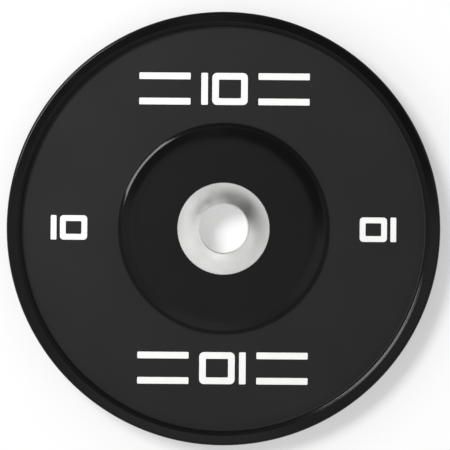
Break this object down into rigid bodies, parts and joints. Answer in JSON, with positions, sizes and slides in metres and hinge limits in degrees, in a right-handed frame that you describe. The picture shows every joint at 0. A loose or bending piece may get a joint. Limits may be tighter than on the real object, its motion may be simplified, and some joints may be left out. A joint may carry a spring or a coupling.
{
  "type": "bumper plate",
  "caption": "Round black rubber weight plate with a raised rim and boss, a turned steel hub whose face rises in a cove to a through bore, and flush white numerals and bars on both faces.",
  "frame": {"origin": "on the bore's axis, midway between the plate's two faces", "axes": "+Z along the bore's axis, out of the front face; +Y towards the top marks; +X to the right of someone who looks at the front"},
  "size_m": [0.45, 0.45, 0.03],
  "materials": {
    "black_rubber": "matte",
    "white_rubber": "satin",
    "turned_steel": "satin",
    "plate_steel": "matte"
  },
  "bodies": {
    "root": {"rubber_disc": "black_rubber", "hub_sleeve": "turned_steel", "front_hub_collar": "turned_steel", "rear_hub_collar": "turned_steel", "anchor_plate": "plate_steel", "front_left_digit_1": "white_rubber", "front_left_digit_0": "white_rubber", "front_right_digit_1": "white_rubber", "front_right_digit_0": "white_rubber", "front_top_digit_1": "white_rubber", "front_top_digit_0": "white_rubber", "front_top_bar_1": "white_rubber", "front_top_bar_2": "white_rubber", "front_top_bar_3": "white_rubber", "front_top_bar_4": "white_rubber", "front_bottom_digit_1": "white_rubber", "front_bottom_digit_0": "white_rubber", "front_bottom_bar_1": "white_rubber", "front_bottom_bar_2": "white_rubber", "front_bottom_bar_3": "white_rubber", "front_bottom_bar_4": "white_rubber", "rear_left_digit_1": "white_rubber", "rear_left_digit_0": "white_rubber", "rear_right_digit_1": "white_rubber", "rear_right_digit_0": "white_rubber", "rear_top_digit_1": "white_rubber", "rear_top_digit_0": "white_rubber", "rear_top_bar_1": "white_rubber", "rear_top_bar_2": "white_rubber", "rear_top_bar_3": "white_rubber", "rear_top_bar_4": "white_rubber", "rear_bottom_digit_1": "white_rubber", "rear_bottom_digit_0": "white_rubber", "rear_bottom_bar_1": "white_rubber", "rear_bottom_bar_2": "white_rubber", "rear_bottom_bar_3": "white_rubber", "rear_bottom_bar_4": "white_rubber"}
  },
  "joints": []
}
